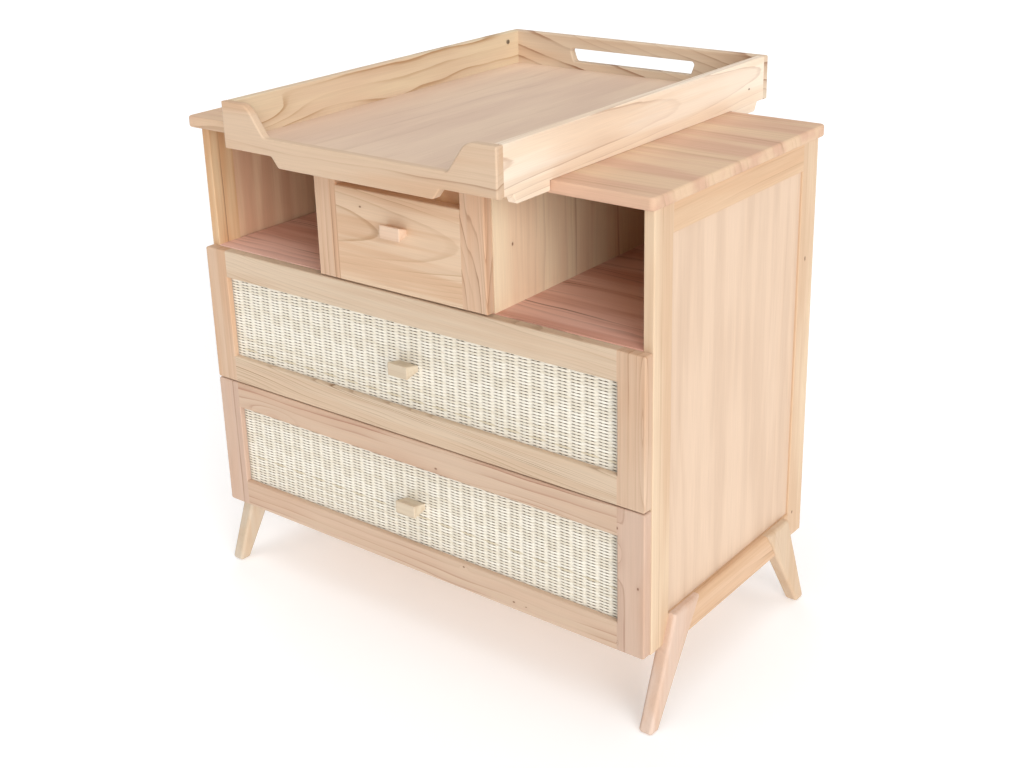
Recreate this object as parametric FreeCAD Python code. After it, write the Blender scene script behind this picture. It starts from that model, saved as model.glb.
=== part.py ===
import FreeCAD, Part
import os

# Changing dresser in solid wood: a carcass on two splayed leg frames, two wide
# drawers with cane panels, a small drawer between two open niches, and a loose
# changing tray that hooks over the worktop's front and back edges.
# Millimetres. +X is the right-hand side seen from the front, the front looks
# along -Y, +Z is up, and the origin is on the floor under the middle.

V = FreeCAD.Vector

# ---------------------------------------------------------------- worktop
WORKTOP_WIDTH = 960.0
WORKTOP_DEPTH = 515.0
WORKTOP_THICKNESS = 20.0
WORKTOP_ROUND = 4.0
WORKTOP_CORNER = 9.0
OVERHANG_SIDE = 11.0
OVERHANG_FRONT = 20.5
OVERHANG_BACK = 1.5

# ---------------------------------------------------------------- carcass
FLOOR_CLEARANCE = 136.0
SIDE_THICKNESS = 18.0
SIDE_MEMBER = 50.0
SIDE_PANEL_THICKNESS = 10.0
SIDE_PANEL_RECESS = 4.0
TONGUE = 8.0
TONGUE_END_GAP = 0.8
SHELF_THICKNESS = 18.0
BASE_THICKNESS = 15.0
BASE_LIFT = 5.0
PARTITION_THICKNESS = 18.0
NICHE_HEIGHT = 216.0
BACK_THICKNESS = 6.0
BACK_LAP = 8.0
BACK_EDGE_GAP = 0.5
BOARD_ROUND = 1.5
SIDE_ROUND = 2.5

# ---------------------------------------------------------------- drawer fronts
LARGE_FRONT_HEIGHT = 251.5
FRONT_THICKNESS = 18.0
FRONT_MEMBER = 50.0
FRONT_GAP = 2.0
FRONT_AIR = 1.0
FRONT_SIDE_REVEAL = 1.5
FRONT_ROUND = 2.5
FRONT_CORNER = 4.0
SHELF_REVEAL = 1.0
SMALL_FRONT_WIDTH = 358.0
SMALL_STILE = 48.0
SMALL_PANEL_HEIGHT = 162.0
CANE_THICKNESS = 4.5
CANE_BACKING_THICKNESS = 3.5
CANE_LAP = 8.0
CANE_EDGE_GAP = 0.5

# ---------------------------------------------------------------- drawer boxes
BOX_BOARD = 12.0
BOX_BACK_ROOM = 38.0
LARGE_BOX_HEIGHT = 180.0
LARGE_BOX_LIFT = 25.0
SMALL_BOX_HEIGHT = 190.0
SMALL_BOX_LIFT = 8.0
BOX_BOTTOM_THICKNESS = 4.0
BOX_BOTTOM_LIFT = 10.0
BOX_GROOVE = 6.0
BOX_GROOVE_GAP = 0.5

# ---------------------------------------------------------------- runners
RUNNER_WIDTH = 12.7
RUNNER_HEIGHT = 45.0
RUNNER_SHEET = 1.2
RUNNER_GAP = 0.4
RUNNER_SETBACK = 2.0
RUNNER_BACK_ROOM = 35.0

# ---------------------------------------------------------------- knobs
KNOB_WIDTH = 42.0
KNOB_FRONT_HEIGHT = 23.5
KNOB_NECK_HEIGHT = 11.0
KNOB_REACH = 18.0
KNOB_ROUND = 1.5

# ---------------------------------------------------------------- leg frames
LEG_THICKNESS = 25.0
LEG_PROUD = 13.0
LEG_RAIL_SETBACK = 3.0
LEG_TOP_OVERLAP = 51.0
LEG_RAIL_DROP = 4.5
LEG_PAST_WORKTOP = 0.5
LEG_SPLAY = 72.0
LEG_FOOT_WIDTH = 25.0
LEG_TOP_WIDTH = 74.0
LEG_ROUND = 6.0

# ---------------------------------------------------------------- changing tray
TRAY_WIDTH = 550.0
TRAY_LENGTH = 760.0
TRAY_OFFSET = 31.0
TRAY_HEIGHT = 75.0
TRAY_BOARD = 15.0
TRAY_ROUND = 3.0
TRAY_LOW_EDGE = 27.0
TRAY_HORN_TOP = 55.0
TRAY_HORN_FOOT = 90.0
TRAY_HORN_CROWN = 28.0
TRAY_HORN_HOLLOW = 10.0
TRAY_APRON_HALF = 171.0
TRAY_APRON_SLOPE = 14.0
TRAY_APRON_DROP = 17.5
TRAY_TAB_LENGTH = 86.0
TRAY_TAB_SLOPE = 8.0
TRAY_TAB_DROP = 15.5
TRAY_TAB_GAP = 1.0
TRAY_CURVE = 7.0
TRAY_FLOOR_THICKNESS = 10.0
TRAY_FLOOR_LIFT = 3.0
TRAY_GROOVE = 5.0
TRAY_GROOVE_GAP = 0.5
SLOT_BOTTOM_LENGTH = 256.0
SLOT_TOP_LENGTH = 275.0
SLOT_HEIGHT = 25.0
SLOT_LIFT = 27.0
SLOT_CORNER = 6.0
SLOT_ROUND = 2.0

# ---------------------------------------------------------------- fasteners
SCREW_FIT = 0.2
LEG_SCREW = dict(shank=2.2, length=25.0, head=4.2, head_height=2.4)
LEG_SCREW_LIFT = 34.0
LEG_SCREW_FROM_JOINT = 60.0
BACK_SCREW = dict(shank=1.6, length=18.0, head=3.2, head_height=1.4)
BACK_SCREWS_ACROSS = (-360.0, -120.0, 120.0, 360.0)
BACK_SCREWS_UP_SIDE = (90.0, 270.0, 430.0, 610.0)
BACK_SCREWS_UP_PARTITION = (60.0, 160.0)
KNOB_SCREW = dict(shank=2.0, head=4.0, head_height=2.5)
KNOB_SCREW_BITE = 12.0
TRAY_SCREW = dict(shank=2.0, length=10.0, head=4.2, head_height=1.6)
TRAY_SCREW_FROM_END = 48.0
TRAY_SCREW_LIFT = 58.0
SCREW_RECESS_LENGTH = 4.4
SCREW_RECESS_WIDTH = 1.0
SCREW_RECESS_DEPTH = 0.9
DOWEL_RADIUS = 4.0
DOWEL_LENGTH = 30.0
DOWEL_FIT = 0.15
DOWEL_END_GAP = 0.5
DOWEL_IN_TOP = 13.0
DOWEL_IN_STILE = 12.0
DOWEL_IN_SHELF = 12.0
DOWEL_FROM_FRONT = 57.0
DOWEL_FROM_BACK = 56.0

# ---------------------------------------------------------------- derived places
SIDE_X = WORKTOP_WIDTH / 2 - OVERHANG_SIDE
INNER_X = SIDE_X - SIDE_THICKNESS
CARCASS_FRONT = -WORKTOP_DEPTH / 2 + OVERHANG_FRONT
CARCASS_BACK = WORKTOP_DEPTH / 2 - OVERHANG_BACK
BACK_FACE = CARCASS_BACK - BACK_THICKNESS
FRONT_BACK = CARCASS_FRONT - FRONT_AIR
FRONT_FACE = FRONT_BACK - FRONT_THICKNESS
CARCASS_BOTTOM = FLOOR_CLEARANCE
LOWER_FRONT_Z = CARCASS_BOTTOM
UPPER_FRONT_Z = LOWER_FRONT_Z + LARGE_FRONT_HEIGHT + FRONT_GAP
SHELF_TOP = UPPER_FRONT_Z + LARGE_FRONT_HEIGHT + SHELF_REVEAL
UNDER_TOP = SHELF_TOP + NICHE_HEIGHT
TOP = UNDER_TOP + WORKTOP_THICKNESS
SMALL_FRONT_Z = SHELF_TOP + FRONT_GAP
SMALL_FRONT_TOP = UNDER_TOP - FRONT_GAP
PARTITION_OUTER = SMALL_FRONT_WIDTH / 2 + FRONT_SIDE_REVEAL
PARTITION_INNER = PARTITION_OUTER - PARTITION_THICKNESS
PARTITION_X = PARTITION_OUTER - PARTITION_THICKNESS / 2
BASE_Z = CARCASS_BOTTOM + BASE_LIFT
CANE_FACE = FRONT_BACK - CANE_BACKING_THICKNESS - CANE_THICKNESS
BOX_BACK = BACK_FACE - BOX_BACK_ROOM
LEG_OUTER = SIDE_X + LEG_PROUD
LEG_INNER = LEG_OUTER - LEG_THICKNESS
LEG_TOP = CARCASS_BOTTOM + LEG_TOP_OVERLAP
LEG_FOOT_OUTER = WORKTOP_DEPTH / 2 + LEG_PAST_WORKTOP
LEG_FOOT_INNER = LEG_FOOT_OUTER - LEG_FOOT_WIDTH
LEG_TOP_OUTER = LEG_FOOT_OUTER - LEG_SPLAY
LEG_TOP_INNER = LEG_TOP_OUTER - LEG_TOP_WIDTH
TRAY_FRONT = -TRAY_LENGTH / 2
TRAY_BACK = TRAY_LENGTH / 2


def block(x, y, z):
    """Box between the low and high value given for each axis."""
    return Part.makeBox(x[1] - x[0], y[1] - y[0], z[1] - z[0], V(x[0], y[0], z[0]))


def near(a, b):
    return abs(a - b) < 1e-3


def edges_where(shape, test):
    """Edges whose every end point passes the test."""
    return [e for e in shape.Edges if all(test(v.X, v.Y, v.Z) for v in e.Vertexes)]


def rounded(shape, radius, test):
    """The shape with the edges that pass the test rounded over."""
    return shape.makeFillet(radius, edges_where(shape, test))


def mirrored(shape):
    """The shape's twin on the other side of the dresser."""
    return shape.mirror(V(0, 0, 0), V(1, 0, 0))


def both(shape):
    """A piece and its twin on the other side."""
    return [shape, mirrored(shape)]


def prism_x(points, x):
    """Outline of (y, z) points, solid between two x values."""
    wire = Part.makePolygon([V(x[0], y, z) for y, z in points + points[:1]])
    return Part.Face(wire).extrude(V(x[1] - x[0], 0, 0))


def prism_y(points, y):
    """Outline of (x, z) points, solid between two y values."""
    wire = Part.makePolygon([V(x, y[0], z) for x, z in points + points[:1]])
    return Part.Face(wire).extrude(V(0, y[1] - y[0], 0))


def screw(at, along, size, length=None):
    """Pan head seated at a point, with its shank running along a direction."""
    reach = size.get("length", 0.0) if length is None else length
    shank = Part.makeCylinder(size["shank"], reach, at, along)
    head = Part.makeCylinder(size["head"], size["head_height"], at, along * -1)
    return head.fuse(shank).removeSplitter()


def bored(shape, at, along, size, length=None):
    """The shape with a clearance hole where such a screw's shank runs."""
    reach = size.get("length", 0.0) if length is None else length
    hole = Part.makeCylinder(size["shank"] + SCREW_FIT, reach + SCREW_FIT, at, along)
    return shape.cut(hole)


def save(name, solids):
    """Write one named piece, or a set of like pieces, to its own file."""
    found = [s for shape in solids for s in shape.Solids]
    whole = found[0] if len(found) == 1 else Part.makeCompound(found)
    whole.exportStep("parts/" + name + ".step")


# ================================================================ frames
def frame_ring(width, height, thickness, member, arris, corner=0.0):
    """Four-sided frame, front face on y = 0, lower left corner at the origin."""
    ring = block((0, width), (0, thickness), (0, height))
    if corner > 0:
        outer = [e for e in ring.Edges if not near(e.Vertexes[0].Y, e.Vertexes[1].Y)]
        ring = ring.makeFillet(corner, outer)
    ring = rounded(ring, arris, lambda x, y, z: near(y, 0))
    hole = block((member, width - member), (-1, thickness + 1), (member, height - member))
    ring = ring.cut(hole)

    def on_opening(x, y, z):
        return near(y, 0) and member - 1 < x < width - member + 1 and member - 1 < z < height - member + 1

    return rounded(ring, arris, on_opening)


def frame_pieces(ring, width, height, thickness, member):
    """The ring cut into left stile, right stile, top rail and bottom rail."""
    deep = (-1, thickness + 1)
    tall = (-1, height + 1)
    between = (member, width - member)
    left = ring.common(block((-1, member), deep, tall))
    right = ring.common(block((width - member, width + 1), deep, tall))
    top = ring.common(block(between, deep, (height - member, height + 1)))
    bottom = ring.common(block(between, deep, (-1, member)))
    return left, right, top, bottom


# ================================================================ carcass
def side_frame():
    """Right-hand side: two stiles, two rails and a panel held in their grooves."""
    depth = CARCASS_BACK - CARCASS_FRONT
    height = UNDER_TOP - CARCASS_BOTTOM
    ring = frame_ring(depth, height, SIDE_THICKNESS, SIDE_MEMBER, SIDE_ROUND)
    ring = rounded(ring, BOARD_ROUND, lambda x, y, z: near(y, SIDE_THICKNESS) and near(x, 0))
    low = SIDE_MEMBER - TONGUE
    groove_y = (SIDE_PANEL_RECESS, SIDE_PANEL_RECESS + SIDE_PANEL_THICKNESS)
    ring = ring.cut(block((low, depth - low), groove_y, (low, height - low)))
    rebate = block((depth - BACK_THICKNESS, depth + 1), (SIDE_THICKNESS - BACK_LAP, SIDE_THICKNESS + 1), (-1, height + 1))
    ring = ring.cut(rebate)
    panel_low = low + TONGUE_END_GAP
    panel = block((panel_low, depth - panel_low), groove_y, (panel_low, height - panel_low))
    pieces = list(frame_pieces(ring, depth, height, SIDE_THICKNESS, SIDE_MEMBER)) + [panel]
    for piece in pieces:
        piece.rotate(V(0, 0, 0), V(0, 0, 1), 90)
        piece.translate(V(SIDE_X, CARCASS_FRONT, CARCASS_BOTTOM))
    return pieces


def dowel_places():
    """Centre, direction and pieces of each dowel on the right-hand side."""
    front_y = CARCASS_FRONT + DOWEL_FROM_FRONT
    back_y = CARCASS_BACK - DOWEL_FROM_BACK
    top_z = UNDER_TOP + DOWEL_IN_TOP - DOWEL_LENGTH
    stile_x = INNER_X + DOWEL_IN_STILE - DOWEL_LENGTH
    places = []
    for y in (front_y, back_y):
        places.append((V(SIDE_X - SIDE_THICKNESS / 2, y, top_z), V(0, 0, 1)))
        places.append((V(PARTITION_X, y, top_z), V(0, 0, 1)))
        places.append((V(PARTITION_X, y, SHELF_TOP - DOWEL_IN_SHELF), V(0, 0, 1)))
    for y in (CARCASS_FRONT + SIDE_MEMBER / 2, CARCASS_BACK - SIDE_MEMBER / 2):
        places.append((V(stile_x, y, SHELF_TOP - SHELF_THICKNESS / 2), V(1, 0, 0)))
        places.append((V(stile_x, y, BASE_Z + BASE_THICKNESS / 2), V(1, 0, 0)))
    return places


def dowel_bores(shape):
    """The shape without the bores that the dowels on both sides need."""
    for at, along in dowel_places():
        start = at - along * DOWEL_END_GAP
        bore = Part.makeCylinder(DOWEL_RADIUS + DOWEL_FIT, DOWEL_LENGTH + 2 * DOWEL_END_GAP, start, along)
        shape = shape.cut(bore).cut(mirrored(bore))
    return shape


def back_screw_places():
    """Seat of each screw that holds the back panel, on its rear face."""
    places = []
    for x in BACK_SCREWS_ACROSS:
        places.append(V(x, CARCASS_BACK, SHELF_TOP - SHELF_THICKNESS / 2))
        places.append(V(x, CARCASS_BACK, BASE_Z + BASE_THICKNESS / 2))
    for side in (-1, 1):
        for lift in BACK_SCREWS_UP_SIDE:
            places.append(V(side * (INNER_X + BACK_LAP / 2), CARCASS_BACK, CARCASS_BOTTOM + lift))
        for lift in BACK_SCREWS_UP_PARTITION:
            places.append(V(side * PARTITION_X, CARCASS_BACK, SHELF_TOP + lift))
    return places


def back_screw_bores(shape):
    """The shape with a bore for each back panel screw that reaches it."""
    for at in back_screw_places():
        shape = bored(shape, at, V(0, -1, 0), BACK_SCREW)
    return shape


def leg_edge(foot, top, z):
    """How far out from the middle a splayed edge is at a height, from its ends."""
    return foot + (top - foot) * z / LEG_TOP


def leg_screw_places():
    """Seat of each leg screw on the inner face of the right-hand side."""
    z = CARCASS_BOTTOM + LEG_SCREW_LIFT
    joint = leg_edge(LEG_FOOT_INNER, LEG_TOP_INNER, z)
    in_leg = (joint + leg_edge(LEG_FOOT_OUTER, LEG_TOP_OUTER, z)) / 2
    in_rail = joint - LEG_SCREW_FROM_JOINT
    return [V(INNER_X, y, z) for y in (-in_leg, -in_rail, in_rail, in_leg)]


def leg_screw_bores(shape):
    """The right-hand shape with a bore for each leg screw that reaches it."""
    for at in leg_screw_places():
        shape = bored(shape, at, V(1, 0, 0), LEG_SCREW)
    return shape


def make_worktop():
    half = WORKTOP_WIDTH / 2
    top = block((-half, half), (-WORKTOP_DEPTH / 2, WORKTOP_DEPTH / 2), (UNDER_TOP, TOP))
    corners = [e for e in top.Edges if not near(e.Vertexes[0].Z, e.Vertexes[1].Z)]
    top = top.makeFillet(WORKTOP_CORNER, corners)
    flat = [e for e in top.Edges if near(e.Vertexes[0].Z, e.Vertexes[1].Z)]
    top = top.makeFillet(WORKTOP_ROUND, flat)
    save("worktop", [dowel_bores(top)])


def make_sides():
    front_stile, rear_stile, top_rail, bottom_rail, panel = side_frame()
    bottom_rail = leg_screw_bores(bottom_rail)
    groups = {
        "side_stiles": [dowel_bores(back_screw_bores(s)) for s in (front_stile, rear_stile)],
        "side_rails": [dowel_bores(top_rail), bottom_rail],
        "side_panel": [panel],
    }
    for name, solids in groups.items():
        save("right_" + name, solids)
        save("left_" + name, [mirrored(s) for s in solids])


def make_inner_boards():
    inside = (CARCASS_FRONT, BACK_FACE)
    across = (-INNER_X, INNER_X)
    shelf = block(across, inside, (SHELF_TOP - SHELF_THICKNESS, SHELF_TOP))
    shelf = rounded(shelf, BOARD_ROUND, lambda x, y, z: near(y, CARCASS_FRONT) and near(z, SHELF_TOP))
    base = block(across, inside, (BASE_Z, BASE_Z + BASE_THICKNESS))
    partition = block((PARTITION_INNER, PARTITION_OUTER), inside, (SHELF_TOP, UNDER_TOP))
    save("niche_shelf", [dowel_bores(back_screw_bores(shelf))])
    save("base_panel", [dowel_bores(back_screw_bores(base))])
    partition = dowel_bores(back_screw_bores(partition))
    save("right_partition", [partition])
    save("left_partition", [mirrored(partition)])
    edge = INNER_X + BACK_LAP - BACK_EDGE_GAP
    rise = (CARCASS_BOTTOM + BACK_EDGE_GAP, UNDER_TOP - BACK_EDGE_GAP)
    back = block((-edge, edge), (BACK_FACE, CARCASS_BACK), rise)
    save("back_panel", [back_screw_bores(back)])


def make_carcass_fasteners():
    dowels = []
    for at, along in dowel_places():
        dowels += both(Part.makeCylinder(DOWEL_RADIUS, DOWEL_LENGTH, at, along))
    save("carcass_dowels", dowels)
    save("back_panel_screws", [screw(at, V(0, -1, 0), BACK_SCREW) for at in back_screw_places()])
    leg_screws = []
    for at in leg_screw_places():
        leg_screws += both(screw(at, V(1, 0, 0), LEG_SCREW))
    save("leg_screws", leg_screws)


# ================================================================ leg frames
def make_leg_frames():
    """Splayed legs and their rail, rebated to lap the outside of each side."""
    rail_z = CARCASS_BOTTOM - LEG_RAIL_DROP
    knee = leg_edge(LEG_FOOT_INNER, LEG_TOP_INNER, rail_z)
    leg_outline = [
        (LEG_TOP_OUTER, LEG_TOP),
        (LEG_FOOT_OUTER, 0.0),
        (LEG_FOOT_INNER, 0.0),
        (LEG_TOP_INNER, LEG_TOP),
    ]
    rail_outline = [(-knee, rail_z), (knee, rail_z), (LEG_TOP_INNER, LEG_TOP), (-LEG_TOP_INNER, LEG_TOP)]
    under_side = block((LEG_INNER - 1, SIDE_X), (-LEG_FOOT_OUTER, LEG_FOOT_OUTER), (CARCASS_BOTTOM, LEG_TOP + 1))
    rail_outer = LEG_OUTER - LEG_RAIL_SETBACK

    def on_face(x, y, z):
        return near(x, LEG_OUTER) or near(x, LEG_INNER)

    def foot(x, y, z):
        return near(z, 0)

    def crown(x, y, z):
        return near(x, LEG_OUTER) and near(z, LEG_TOP)

    def upright(edge):
        return not near(edge.Vertexes[0].Z, edge.Vertexes[1].Z)

    for end, sign in (("front", -1), ("rear", 1)):
        outline = [(sign * y, z) for y, z in leg_outline]
        leg = prism_x(outline, (LEG_INNER, LEG_OUTER)).cut(under_side)
        long_edges = [e for e in edges_where(leg, on_face) if upright(e)]
        leg = leg.makeFillet(LEG_ROUND, long_edges + edges_where(leg, foot) + edges_where(leg, crown))
        leg = leg_screw_bores(leg)
        save("right_" + end + "_leg", [leg])
        save("left_" + end + "_leg", [mirrored(leg)])
    rail = prism_x(rail_outline, (LEG_INNER, rail_outer)).cut(under_side)

    def long_edge(x, y, z):
        return near(x, rail_outer) and (near(z, LEG_TOP) or near(z, rail_z))

    edges = [e for e in edges_where(rail, long_edge) if near(e.Vertexes[0].Z, e.Vertexes[1].Z)]
    rail = leg_screw_bores(rail.makeFillet(LEG_ROUND, edges))
    save("right_leg_rail", [rail])
    save("left_leg_rail", [mirrored(rail)])


# ================================================================ runners
def channel(face_x, back_x, height, y, z):
    """C-section lying along Y, with its web on face_x and its flanges reaching back_x."""
    toward = 1.0 if back_x > face_x else -1.0
    web = sorted((face_x, face_x + toward * RUNNER_SHEET))
    whole = sorted((face_x, back_x))
    low = z - height / 2
    high = z + height / 2
    section = block(web, y, (low, high))
    section = section.fuse(block(whole, y, (high - RUNNER_SHEET, high)))
    section = section.fuse(block(whole, y, (low, low + RUNNER_SHEET)))
    return section.removeSplitter()


def runner_members(wall_x, z):
    """Cabinet, middle and drawer member of a right-hand runner, one inside the other."""
    y = (CARCASS_FRONT + RUNNER_SETBACK, BACK_FACE - RUNNER_BACK_ROOM)
    nest = RUNNER_SHEET + RUNNER_GAP
    box_x = wall_x - RUNNER_WIDTH
    middle_height = RUNNER_HEIGHT - 2 * nest
    drawer_height = middle_height - 2 * nest
    cabinet = channel(wall_x, box_x + nest, RUNNER_HEIGHT, y, z)
    middle = channel(wall_x - nest, box_x + nest, middle_height, y, z)
    drawer = channel(box_x, wall_x - 2 * nest, drawer_height, y, z)
    return cabinet, middle, drawer


# ================================================================ drawers
def make_box(name, half_width, z, height, wall_x):
    """Plain box of two sides, two ends and a thin bottom let into grooves."""
    inner = half_width - BOX_BOARD
    top = z + height
    side = block((inner, half_width), (FRONT_BACK, BOX_BACK), (z, top))
    front_end = block((-inner, inner), (FRONT_BACK, FRONT_BACK + BOX_BOARD), (z, top))
    back_end = block((-inner, inner), (BOX_BACK - BOX_BOARD, BOX_BACK), (z, top))
    lift = (z + BOX_BOTTOM_LIFT, z + BOX_BOTTOM_LIFT + BOX_BOTTOM_THICKNESS)

    def let_in(depth):
        reach = inner + depth
        ends = (FRONT_BACK + BOX_BOARD - depth, BOX_BACK - BOX_BOARD + depth)
        return block((-reach, reach), ends, lift)

    groove = let_in(BOX_GROOVE)
    bottom = let_in(BOX_GROOVE - BOX_GROOVE_GAP)
    front_end = bored(front_end, knob_screw_seat(z_of_knob(name)), V(0, -1, 0), KNOB_SCREW, BOX_BOARD)
    save(name + "_box_sides", both(side.cut(groove)))
    save(name + "_box_ends", [front_end.cut(groove), back_end.cut(groove)])
    save(name + "_box_bottom", [bottom])
    runner = runner_members(wall_x, z + height / 2)
    save(name + "_runner_middle_members", both(runner[1]))
    save(name + "_runner_drawer_members", both(runner[2]))
    return both(runner[0])


def z_of_knob(name):
    """Height of a drawer's knob: the middle of its front."""
    if name == "small":
        return (SMALL_FRONT_Z + SMALL_FRONT_TOP) / 2
    low = UPPER_FRONT_Z if name == "upper" else LOWER_FRONT_Z
    return low + LARGE_FRONT_HEIGHT / 2


def knob_screw_seat(z):
    """Where a knob screw's head bears, on the inner face of the box's front end."""
    return V(0, FRONT_BACK + BOX_BOARD, z)


def make_knob(name, seat_y):
    """Wooden block that widens from its neck to its front, and its screw from inside."""
    z = z_of_knob(name)
    face_y = FRONT_FACE - KNOB_REACH
    neck = KNOB_NECK_HEIGHT / 2
    front = KNOB_FRONT_HEIGHT / 2
    outline = [(seat_y, z - neck), (seat_y, z + neck), (face_y, z + front), (face_y, z - front)]
    knob = prism_x(outline, (-KNOB_WIDTH / 2, KNOB_WIDTH / 2))
    edges = [e for e in knob.Edges if not all(near(v.Y, seat_y) for v in e.Vertexes)]
    knob = knob.makeFillet(KNOB_ROUND, edges)
    seat = knob_screw_seat(z)
    length = seat.y - seat_y + KNOB_SCREW_BITE
    knob = bored(knob, seat, V(0, -1, 0), KNOB_SCREW, length)
    save(name + "_knob", [knob])
    save(name + "_knob_screw", [screw(seat, V(0, -1, 0), KNOB_SCREW, length)])


def make_cane_front(name, z):
    """Frame of stiles and rails, cane sheet in its rebate and a backing board."""
    width = 2 * (SIDE_X - FRONT_SIDE_REVEAL)
    height = LARGE_FRONT_HEIGHT
    ring = frame_ring(width, height, FRONT_THICKNESS, FRONT_MEMBER, FRONT_ROUND, FRONT_CORNER)
    low = FRONT_MEMBER - CANE_LAP
    rebate_depth = CANE_THICKNESS + CANE_BACKING_THICKNESS
    rebate_y = (FRONT_THICKNESS - rebate_depth, FRONT_THICKNESS + 1)
    ring = ring.cut(block((low, width - low), rebate_y, (low, height - low)))
    pieces = frame_pieces(ring, width, height, FRONT_THICKNESS, FRONT_MEMBER)
    for piece in pieces:
        piece.translate(V(-width / 2, FRONT_FACE, z))
    left, right, top, bottom = pieces
    save(name + "_front_stiles", [left, right])
    save(name + "_front_rails", [top, bottom])
    sheet = low + CANE_EDGE_GAP
    across = (sheet - width / 2, width / 2 - sheet)
    up = (z + sheet, z + height - sheet)
    seat = knob_screw_seat(z_of_knob(name))
    length = FRONT_THICKNESS + BOX_BOARD
    cane = block(across, (CANE_FACE, CANE_FACE + CANE_THICKNESS), up)
    backing = block(across, (CANE_FACE + CANE_THICKNESS, FRONT_BACK), up)
    save(name + "_cane_panel", [bored(cane, seat, V(0, -1, 0), KNOB_SCREW, length)])
    save(name + "_cane_backing", [bored(backing, seat, V(0, -1, 0), KNOB_SCREW, length)])


def make_small_front():
    """Two upright stiles with a lower panel between them, open above it."""
    half = SMALL_FRONT_WIDTH / 2
    inner = half - SMALL_STILE
    deep = (FRONT_FACE, FRONT_BACK)
    tall = (SMALL_FRONT_Z, SMALL_FRONT_TOP)
    panel_top = SMALL_FRONT_Z + SMALL_PANEL_HEIGHT

    def front_arris(x, y, z):
        return near(y, FRONT_FACE)

    whole = rounded(block((-half, half), deep, tall), FRONT_ROUND, front_arris)
    whole = whole.cut(block((-inner, inner), (FRONT_FACE - 1, FRONT_BACK + 1), (panel_top, SMALL_FRONT_TOP + 1)))

    def notch_arris(x, y, z):
        return near(y, FRONT_FACE) and abs(x) < inner + 1 and z > panel_top - 1

    whole = rounded(whole, FRONT_ROUND, notch_arris)
    stile = whole.common(block((inner, half), deep, tall))
    panel = whole.common(block((-inner, inner), deep, (SMALL_FRONT_Z, panel_top)))
    seat = knob_screw_seat(z_of_knob("small"))
    panel = bored(panel, seat, V(0, -1, 0), KNOB_SCREW, FRONT_THICKNESS + BOX_BOARD)
    save("small_front_stiles", both(stile))
    save("small_front_panel", [panel])


def make_drawers():
    cabinet_members = []
    large_half = INNER_X - RUNNER_WIDTH
    for name, z in (("upper", UPPER_FRONT_Z), ("lower", LOWER_FRONT_Z)):
        make_cane_front(name, z)
        make_knob(name, CANE_FACE)
        cabinet_members += make_box(name, large_half, z + LARGE_BOX_LIFT, LARGE_BOX_HEIGHT, INNER_X)
    make_small_front()
    make_knob("small", FRONT_FACE)
    small_half = PARTITION_INNER - RUNNER_WIDTH
    small_z = SMALL_FRONT_Z + SMALL_BOX_LIFT
    cabinet_members += make_box("small", small_half, small_z, SMALL_BOX_HEIGHT, PARTITION_INNER)
    save("runner_cabinet_members", cabinet_members)


# ================================================================ changing tray
def tray_floor(inset):
    """Floor board, or with no inset gap the room that its grooves give it."""
    half = TRAY_WIDTH / 2 - TRAY_BOARD + TRAY_GROOVE - inset
    end = TRAY_LENGTH / 2 - TRAY_BOARD + TRAY_GROOVE - inset
    z = TOP + TRAY_FLOOR_LIFT
    return block((-half, half), (-end, end), (z, z + TRAY_FLOOR_THICKNESS))


def y_edges(shape, radius_at):
    """The shape with its Y-wise edges rounded, each by the radius for its (x, z)."""
    for radius in sorted(set(radius_at.values())):
        corners = [c for c, r in radius_at.items() if r == radius]

        def on_corner(x, y, z):
            return any(near(x, cx) and near(z, cz) for cx, cz in corners)

        found = [e for e in edges_where(shape, on_corner) if near(e.Vertexes[0].X, e.Vertexes[1].X)]
        shape = shape.makeFillet(radius, found)
    return shape


def tray_front_board():
    """Low front with a raised horn at each end and a shallow apron below."""
    half = TRAY_WIDTH / 2
    low = TOP + TRAY_LOW_EDGE
    high = TOP + TRAY_HEIGHT
    apron = TOP - TRAY_APRON_DROP
    horn_top = half - TRAY_HORN_TOP
    horn_foot = half - TRAY_HORN_FOOT
    apron_end = TRAY_APRON_HALF - TRAY_APRON_SLOPE
    right = [
        (apron_end, apron),
        (TRAY_APRON_HALF, TOP),
        (half, TOP),
        (half, high),
        (horn_top, high),
        (horn_foot, low),
    ]
    outline = right + [(-x, z) for x, z in reversed(right)]
    radii = {}
    for sign in (-1, 1):
        radii[(sign * apron_end, apron)] = TRAY_CURVE
        radii[(sign * TRAY_APRON_HALF, TOP)] = TRAY_CURVE
        radii[(sign * horn_top, high)] = TRAY_HORN_CROWN
        radii[(sign * horn_foot, low)] = TRAY_HORN_HOLLOW
    board = prism_y(outline, (TRAY_FRONT, TRAY_FRONT + TRAY_BOARD))
    board = y_edges(board, radii)

    def face_arris(x, y, z):
        return near(y, TRAY_FRONT) or (near(y, TRAY_FRONT + TRAY_BOARD) and z > TOP + TRAY_ROUND)

    edges = [e for e in edges_where(board, face_arris) if near(e.Vertexes[0].Y, e.Vertexes[1].Y)]
    return board.makeFillet(TRAY_ROUND, edges)


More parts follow.
